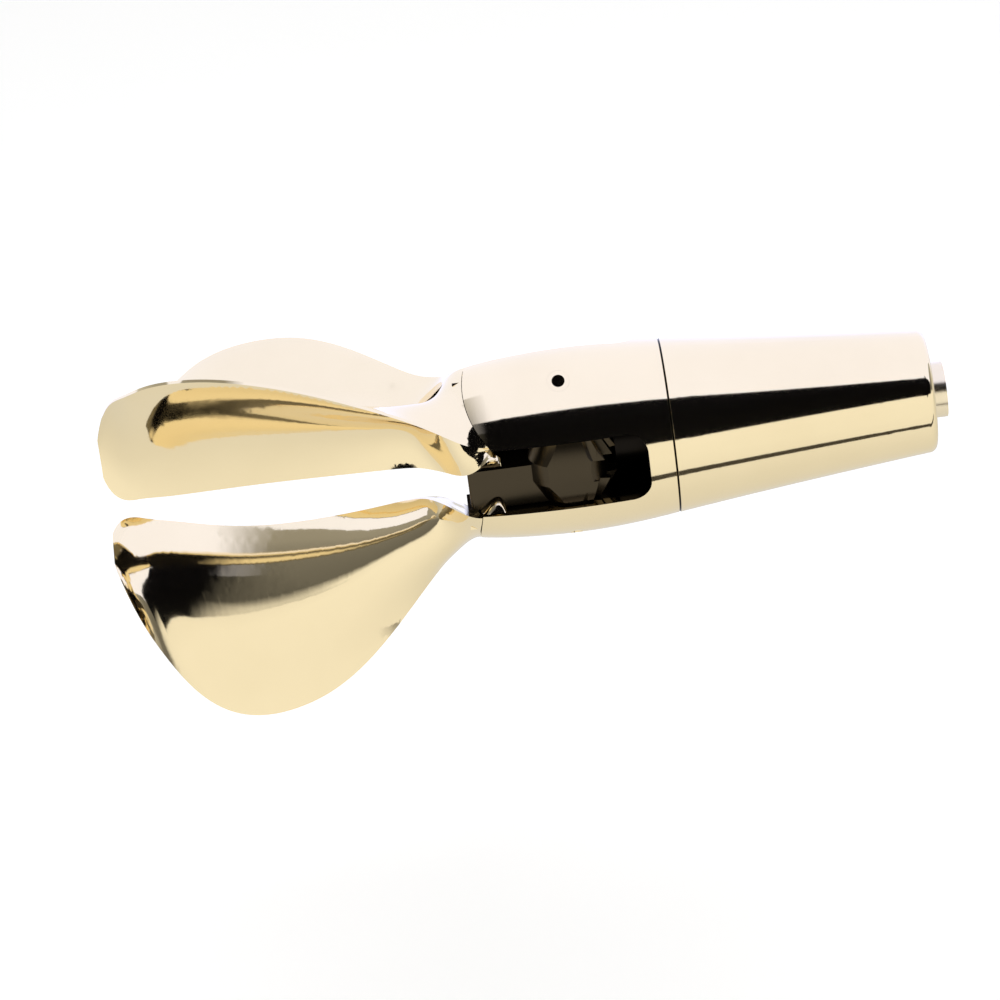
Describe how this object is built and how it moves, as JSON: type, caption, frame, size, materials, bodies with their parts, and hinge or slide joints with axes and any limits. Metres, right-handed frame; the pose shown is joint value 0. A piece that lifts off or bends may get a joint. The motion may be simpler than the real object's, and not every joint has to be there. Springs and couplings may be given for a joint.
{
  "type": "folding boat propeller",
  "caption": "Folding boat propeller: a tapered two-part hub on a keyed shaft sleeve, with broad cupped blades that pivot on pins and turn together through bevel gear roots.",
  "frame": {"origin": "centre of the shaft bore's mouth, on the hub axis, at the sleeve's rear end", "axes": "+X along the shaft, the way the shaft leaves; the folded blades lie towards -X; -Y radially out of the first blade's slot; +Z along the first blade's pivot pin"},
  "size_m": [0.3793, 0.1759, 0.1835],
  "materials": {
    "polished_bronze": "mirror polished",
    "pale_bronze": "polished",
    "steel": "machined",
    "bush_polymer": "matt",
    "seal_rubber": "matt"
  },
  "bodies": {
    "hub": {"rear_hub": "polished_bronze", "blade_carrier": "polished_bronze", "shaft_sleeve": "pale_bronze", "sleeve_key": "steel", "sleeve_nut": "steel", "lock_washer": "steel", "access_plug": "steel", "hub_seal_ring": "seal_rubber", "carrier_screws": "steel", "hub_dowels": "steel", "pivot_pin_1": "steel", "pivot_plug_1": "polished_bronze", "thrust_washers_1": "bush_polymer", "pivot_pin_2": "steel", "pivot_plug_2": "polished_bronze", "thrust_washers_2": "bush_polymer", "pivot_pin_3": "steel", "pivot_plug_3": "polished_bronze", "thrust_washers_3": "bush_polymer"},
    "blade_1": {"blade_1": "polished_bronze", "blade_bush_1": "bush_polymer"},
    "blade_2": {"blade_2": "polished_bronze", "blade_bush_2": "bush_polymer"},
    "blade_3": {"blade_3": "polished_bronze", "blade_bush_3": "bush_polymer"}
  },
  "joints": [
    {"name": "fold_1", "type": "hinge", "parent": "hub", "child": "blade_1", "pos_m": [-0.1723, -0.023, 0], "axis": [0, 0, 1], "range_deg": [0, 90]},
    {"name": "fold_2", "type": "hinge", "parent": "hub", "child": "blade_2", "pos_m": [-0.1723, 0.0115, 0.01992], "axis": [0, 0.866, -0.5], "range_deg": [0, 90]},
    {"name": "fold_3", "type": "hinge", "parent": "hub", "child": "blade_3", "pos_m": [-0.1723, 0.0115, -0.01992], "axis": [0, -0.866, -0.5], "range_deg": [0, 90]}
  ],
  "couplings": [
    {"joint": "fold_2", "follows": "fold_1", "ratio": 1},
    {"joint": "fold_3", "follows": "fold_1", "ratio": 1}
  ]
}
